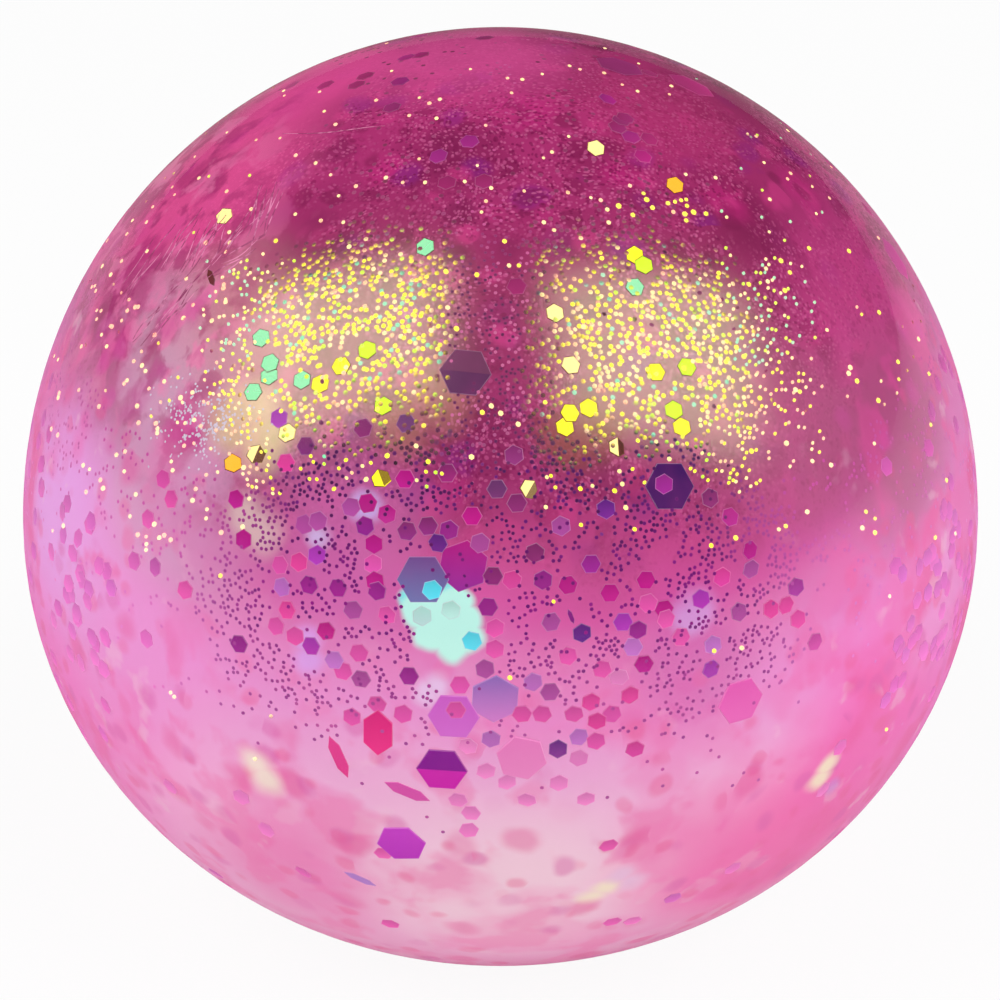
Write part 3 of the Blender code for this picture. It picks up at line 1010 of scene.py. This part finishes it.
def loose_sequins(rng):
    """(flakes, [(place, size)]) of the sequins that the photograph shows singly, and of others all round."""
    flakes = Flakes("loose_sequins")
    placed = []

    def add(point, axes, tints, film, size=MEDIUM, thick=MEDIUM_FILM, **shape):
        flakes.add_sequin(point, axes, size, thick, tints, film, **shape)
        placed.append((point, size))

    named = [(name, pixel, None) for name, pixels in FRONT_SEQUINS.items() for pixel in pixels]
    named += [(name, pixel, ON_TOP_DEPTH) for name, pixels in ON_TOP.items() for pixel in pixels]
    for name, pixel, depth in named:
        point, normal, _ = seen_at(pixel, depth or rng.uniform(*MEDIUM_DEPTHS))
        tint = softened(srgb(*HUES[name]), point)
        lower = blend(tint, random_tints(point, rng)[0], rng.uniform(0, 0.4))
        lean = 0.02 if depth else 0.10
        axes = hexagon_axes(tilted(normal, lean, rng), rng.uniform(0, 1))
        # Painted shade darkens each sequin's upper tint and painted light brightens its lower one
        add(point, axes, (shaded(tint, 0.8), shaded(lower, 1.2)), "plain")
    for film, pixels in FLASHING_SEQUINS.items():
        for pixel in pixels:
            point, _, inside = seen_at(pixel, FLASH_DEPTH)
            facing = catching(point, inside)
            axes = hexagon_axes(tilted(facing, 0.02, rng), rng.uniform(0, 1))
            fold = rng.uniform(0.0, 0.06)
            if pixel[1] > HALF_LIT_BELOW:
                fold = HALF_LIT_FOLD
                lean = Matrix.Rotation(math.atan(fold), 3, axes[0])
                axes = axes[0], lean @ axes[1], lean @ axes[2]
            add(point, axes, [srgb(*HUES["umber"])] * 2, film, fold=fold, rim=0.0)
    for pixel, upper, lower in LOOSE_LARGE:
        point, normal, _ = seen_at(pixel, MEDIUM_DEPTHS[1])
        axes = hexagon_axes(tilted(normal, 0.04, rng), rng.uniform(0, 1))
        add(point, axes, (srgb(*upper), srgb(*lower)), "plain", LARGE, LARGE_FILM)
    for start, end, hue in SLIVERS:
        tip, normal, _ = seen_at(start, MEDIUM_DEPTHS[0])
        tail, _, _ = seen_at(end, MEDIUM_DEPTHS[0])
        x = (tail - tip).normalized()
        y = normal.cross(x).normalized()
        size = (tail - tip).length * math.sqrt(3) / 2
        add((tip + tail) / 2, (x, y, x.cross(y)), [srgb(*hue)] * 2, "plain", size, narrow=0.3)

    count = 0
    while count < LOOSE_COUNT:
        azimuth = rng.uniform(-math.pi, math.pi)
        latitude = math.asin(rng.uniform(-0.70, 0.98))
        if any(abs(azimuth) < side and low < latitude < high for side, low, high in KEPT_CLEAR):
            continue
        point, normal = place_at(azimuth, latitude, rng.uniform(*MEDIUM_DEPTHS))
        wanted = np.interp(math.degrees(latitude), LOOSE_HEIGHTS, LOOSE_SHARES)
        if rng.uniform() > wanted * (0.6 + noise.noise(point * 120)):
            continue
        count += 1
        high_up = latitude > math.radians(40) and in_view(point) < 1
        film = rng.choice(list(FLASHES)) if high_up and rng.uniform() < 0.5 else "plain"
        axes = hexagon_axes(tilted(normal, 0.10, rng), rng.uniform(0, 1))
        add(point, axes, random_tints(point, rng), film, rim=0.12)
    return flakes, placed


class Ground:
    """Keeps specks from lying on each other, and mostly off the sequins."""

    def __init__(self, placed):
        self.sequins = placed
        self.tree = kdtree.KDTree(len(placed))
        for k, (point, _) in enumerate(placed):
            self.tree.insert(point, k)
        self.tree.balance()
        self.specks = {}

    def takes(self, point, rng):
        cell = [int(c // FINE_SPACING) for c in point]
        around = (tuple(c + s - 1 for c, s in zip(cell, step)) for step in np.ndindex(3, 3, 3))
        near = (other for key in around for other in self.specks.get(key, ()))
        if any((other - point).length < FINE_SPACING for other in near):
            return False
        for _, k, gap in self.tree.find_range(point, 0.6 * LARGE):
            beside = math.sqrt(max(0.0, gap**2 - SEQUIN_HEIGHT**2))
            if beside < SEQUIN_COVER * self.sequins[k][1] and rng.uniform() < OFF_SEQUINS:
                return False
        self.specks.setdefault(tuple(cell), []).append(point)
        return True


# What shows through specks, between two hues
SPECK_HUES = {
    "dark": ((34, 0, 62), (84, 8, 104)),
    "violet": ((84, 0, 104), (136, 8, 124)),
    "high": ((84, 20, 64), (160, 60, 112)),
    "dust": ((130, 28, 84), (200, 84, 146)),
    "pale": ((196, 84, 160), (150, 60, 140)),
}
HIGH_DARK, HIGH_LIGHT, DARK_SHARE = (76, 16, 58), (190, 98, 140), 0.6
SPECK_EDGE = (238, 150, 204)


def rise(value, low, high):
    """0 up to low, 1 from high on and even in between."""
    return np.interp(value, (low, high), (0.0, 1.0))


def speck_tints(point, flashes, rng):
    """The tints of a speck's middle and edge: dusty in the crown, dark below it and pale near the foot."""
    def between(name, share):
        return blend(*(srgb(*hue) for hue in SPECK_HUES[name]), share)

    height = latitude_of(point)
    shade = rng.uniform()
    dark, violet = between("dark", shade**2), between("violet", shade)
    high = between("high", rng.uniform())
    if not flashes:
        high = srgb(*(HIGH_DARK if rng.uniform() < DARK_SHARE else HIGH_LIGHT))
    dust = between("dust", rng.uniform())
    pale = between("pale", rng.uniform())
    tint = blend(violet, dark, rise(height, 0.30, 0.50))
    tint = blend(tint, high, rise(height, 0.58, 0.68))
    tint = blend(tint, dust, rise(height, 0.95, 1.10))
    tint = blend(pale, tint, rise(height, 0.05, 0.28))
    tint = drowned(tint, point, np.interp(height, (0.20, 0.42), (0.48, 0.38)), 0.75)
    edge = np.interp(height, (0.58, 0.68), (0.05, 0.10))
    return tint, blend(tint, srgb(*SPECK_EDGE), edge)


def flashing(point):
    """The facing that flashes into the view from near the skin."""
    return catching(point, (point - camera_place()).normalized())


def in_box(pixel, box):
    return box[0] < pixel[0] < box[1] and box[2] < pixel[1] < box[3]


def fine_glitter(placed, rng):
    """Specks against the wall: thick in the highlights' belt, in drifts below it and rare near the foot."""
    upper = Flakes("fine_glitter_crown")
    lower = Flakes("fine_glitter_belly")
    glow = [(pixel, 1.3 * reach) for pixels, reach, *_ in BRIGHT_GLOWS for pixel in pixels]
    glow = [(seen_at(pixel, FINE_DEPTHS[1])[0], width) for pixel, width in glow]
    ground = Ground(placed + glow)

    def add(point, facing, film, size=FINE):
        flakes = upper if latitude_of(point) > math.radians(30) else lower
        tints = speck_tints(point, film != "plain", rng)
        flakes.add_speck(point, facing, rng.uniform(0, 1), size, tints, film)

    # Sparkles that happen to face a softbox
    count = 0
    while count < SPARKLE_COUNT:
        pixel = rng.uniform(*SPARKLE_BOX[:2]), rng.uniform(*SPARKLE_BOX[2:])
        left, edge = in_box(pixel, MANY_LEFT), in_box(pixel, MANY_AT_EDGE)
        wanted = 0.10 if pixel[1] > FEW_BELOW else 0.5 if pixel[1] < MORE_ABOVE else 0.35
        seen = seen_at(pixel, FINE_DEPTHS[0])
        if seen is None or rng.uniform() > (1.0 if left or edge else wanted):
            continue
        point, normal, inside = seen
        facing = catching(point, inside)
        if facing.dot(normal) < 0.5 or not ground.takes(point, rng):
            continue
        count += 1
        small = pixel[1] < SMALL_ABOVE
        pair = ("mint", "cream") if edge else ("cream", "peach") if left or small else ("cream", "gold")
        film = rng.choice(pair)
        largest = 1.0 if edge else 1.15 if small else 1.4
        add(point, tilted(facing, 0.05, rng), film, FINE * rng.uniform(0.7 * largest, largest))

    # A drift of them high on the right
    for _ in range(DRIFT_COUNT):
        pixel = rng.normal(DRIFT_PIXEL, DRIFT_SPREAD)
        point, _, inside = seen_at(pixel, FINE_DEPTHS[0])
        if ground.takes(point, rng):
            add(point, tilted(catching(point, inside), 0.05, rng), "gold", FINE * rng.uniform(1.0, 1.5))

    for _ in range(FINE_TRIES):
        azimuth = rng.uniform(-math.pi, math.pi)
        latitude = math.asin(rng.uniform(-0.75, 1.0))
        point, normal = place_at(azimuth, latitude, rng.uniform(*FINE_DEPTHS))
        height = math.degrees(latitude)
        sparse = np.interp(height, (26, 34), (0.10, 0.01))
        inner = np.interp(height, (18, 26, 36, 48, 58), (0.46, 0.43, 0.50, 0.47, 0.22))
        aside = np.interp(abs(ball_radii(point).x), (inner, inner + 0.12), (1.0, sparse))
        aside = blend((0.8,), (aside,), in_view(point))[0]
        drift = noise.noise(point * 260) + 0.8 * noise.noise(point * 640)
        wanted = np.interp(height, SPECK_HEIGHTS, SPECK_SHARES)
        belt = np.interp(height, (34, 40, 56, 64), (1.6, 0.5, 0.5, 1.2))
        if rng.uniform() > wanted * aside * (0.9 + belt * drift) or not ground.takes(point, rng):
            continue
        lean = 0.25 if rng.uniform() < 0.02 else 0.03
        facing = normal
        film = "plain"
        size = np.interp(height, (33, 38), (0.95, 1.2))
        x = ball_radii(point).x
        in_front = in_view(point) == 1
        between = in_front and abs(x - GAP_MIDDLE) < rng.normal(GAP_REACH, 0.015)
        flash_from = FLASH_LATITUDE - np.interp(x, (-0.42, -0.32, 0.32, 0.44), (1.5, 0.0, 0.0, 4.0))
        if between:
            size = 0.85
        if abs(x) > rng.normal(BESIDE, 0.04) and height > 28 and in_front:
            if rng.uniform() < np.interp(abs(x), (0.46, 0.56), (0.1, 0.6)):
                continue
            facing = flashing(point)
            film = rng.choice(("cream", "mint", "lime") if height > 40 else ("gold", "cream", "peach"))
            size = 0.95
        elif rng.normal(height, 1.5) > flash_from and not between:
            if in_front and height < FLASH_LATITUDE:
                facing = flashing(point)
            film = rng.choice(HIGHLIGHT_FILMS, p=LEFT_SHARES if azimuth < 0 else RIGHT_SHARES)
        add(point, tilted(facing, lean, rng), film, FINE * size)
    add_lace(lower, rng)
    return upper, lower


def add_lace(flakes, rng):
    """The silvery net of specks beside the left highlight."""
    tints = [srgb(*HUES["silver"])] * 2
    for _ in range(LACE_TRIES):
        pixel = rng.normal(LACE_PIXEL, LACE_SPREAD)
        point, normal, _ = seen_at(pixel, rng.uniform(*LACE_DEPTHS))
        if abs(noise.noise(point * LACE_SCALE)) < LACE_THREAD:
            facing = tilted(normal, 0.2, rng)
            flakes.add_speck(point, facing, rng.uniform(0, 1), FINE * LACE_SIZE, tints, "plain")


def keep_rest(obj):
    """Stores each point's place at rest, in ball radii from the middle, for the patterns to follow."""
    mesh = obj.data
    places = np.empty(len(mesh.vertices) * 3, np.float32)
    mesh.vertices.foreach_get("co", places)
    places = (places.reshape(-1, 3) - (0, 0, EQUATOR)) / RADIUS
    layer = mesh.attributes.new("rest", "FLOAT_VECTOR", "POINT")
    layer.data.foreach_set("vector", places.astype(np.float32).ravel())


# The studio

def add_light(name, place, size, radiance, roll=0.0):
    """A light that is aimed at the ball's middle."""
    data = bpy.data.lights.new(name, "AREA")
    data.shape = "RECTANGLE"
    data.size, data.size_y = size
    data.energy = radiance * math.pi * size[0] * size[1]
    obj = bpy.data.objects.new(name, data)
    obj.location = place
    obj.rotation_mode = "QUATERNION"
    look = (MIDDLE - place).to_track_quat("-Z", "Y")
    obj.rotation_quaternion = look @ Matrix.Rotation(roll, 3, "Z").to_quaternion()
    bpy.context.scene.collection.objects.link(obj)
    return obj


def fade_edges(light):
    """Lets a softbox grow dim towards its edges, as its diffuser does."""
    light.use_nodes = True
    n = Nodes(light.node_tree)
    place = n.add("NewGeometry").outputs["Parametric"]
    fade = 1.0
    for side in n.add("SeparateXYZ", {0: place}).outputs[:2]:
        inwards = n.times(side, n.math("SUBTRACT", 1.0, side), 4.0)
        fade = n.times(n.step(inwards, 0.0, SOFTBOX_EDGE), fade)
    n.fill(n.tree.nodes["Emission"], {"Strength": fade})


def make_camera():
    scene = bpy.context.scene
    camera = bpy.data.objects.new("camera", bpy.data.cameras.new("camera"))
    camera.data.sensor_width = SENSOR
    camera.data.lens = SENSOR * FOCAL_PIXELS / IMAGE
    camera.data.shift_x = (IMAGE / 2 - CENTRE_PIXEL[0]) / IMAGE
    camera.data.shift_y = (CENTRE_PIXEL[1] - IMAGE / 2) / IMAGE
    camera.data.clip_start = 0.01
    camera.location = camera_place()
    camera.rotation_mode = "QUATERNION"
    camera.rotation_quaternion = (-view_axes()[2]).to_track_quat("-Z", "Y")
    scene.collection.objects.link(camera)
    scene.camera = camera


def make_floor():
    """A white floor that keeps part of the ball's shadow."""
    angles = [2 * math.pi * k / SEGMENTS for k in range(SEGMENTS)]
    points = [(FLOOR_RADIUS * math.cos(angle), FLOOR_RADIUS * math.sin(angle), 0.0) for angle in angles]
    floor = add_mesh("floor", points, [list(range(SEGMENTS))])
    floor.location.z = -FLOOR_DROP
    material, n, shader = new_material("floor_white")
    n.fill(shader, {"Base Color": (*[FLOOR_WHITE] * 3, 1), "Roughness": 0.9, "Specular IOR Level": 0.0})
    path = n.add("LightPath").outputs
    direct = n.math("MAXIMUM", path["Is Camera Ray"], path["Is Transmission Ray"])
    seen = n.math("MAXIMUM", direct, path["Is Glossy Ray"])
    glow = n.math("MULTIPLY_ADD", path["Is Glossy Ray"], -FLOOR_DIMMER, 1.0)
    white = n.add("Emission", {"Strength": glow}).outputs[0]
    n.show(n.add("MixShader", {0: n.times(seen, FLOOR_GLOW), 1: shader.outputs[0], 2: white}))
    floor.data.materials.append(material)


def make_studio():
    scene = bpy.context.scene
    scene.view_settings.view_transform = "Standard"
    make_camera()
    make_floor()
    for number, (place, size, roll) in enumerate(zip(LAMPS, SOFTBOX_SIZES, SOFTBOX_ROLLS)):
        softbox = add_light(f"softbox_{number}", place, size, SOFTBOX_RADIANCE, roll)
        fade_edges(softbox.data)
    for name, (place, radiance) in FILLS.items():
        fill = add_light(name, MIDDLE + Vector(place), FILL_SIZE, radiance)
        fill.visible_glossy = False
    scene.world = scene.world or bpy.data.worlds.new("World")
    scene.world.use_nodes = True
    sky = scene.world.node_tree.nodes["Background"]
    sky.inputs[0].default_value = (1, 1, 1, 1)
    sky.inputs[1].default_value = SKY_LIGHT


def main():
    rng = np.random.default_rng(SEED)
    films = film_materials()
    skin = make_skin()
    core = make_core()
    scuffs = make_scuffs(rng)
    loose, placed = loose_sequins(rng)
    riders = [(skin, "shell", "skin"), (core, "filling", "gel"), (scuffs, "shell", "skin")]
    for body, flakes, named in seated_sequins(rng):
        for node in named:
            low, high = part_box(node)
            placed.append(((low + high) / 2, LARGE if node.startswith("large") else MEDIUM))
        obj = flakes.build(films)
        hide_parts(*named)
        riders.append((obj, body, "large_film"))
    upper, lower = fine_glitter(placed, rng)
    riders += [(flakes.build(films), "filling", "medium_film") for flakes in (loose, upper, lower)]
    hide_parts("skin")
    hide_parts("gel_filling")
    for obj, body, slot in riders:
        keep_rest(obj)
        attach(obj, body)
        if body != "crown_sequins":
            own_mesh(obj)
    nodes["filler_plug"].data.materials.clear()
    nodes["filler_plug"].data.materials.append(plug_material())
    make_studio()


main()
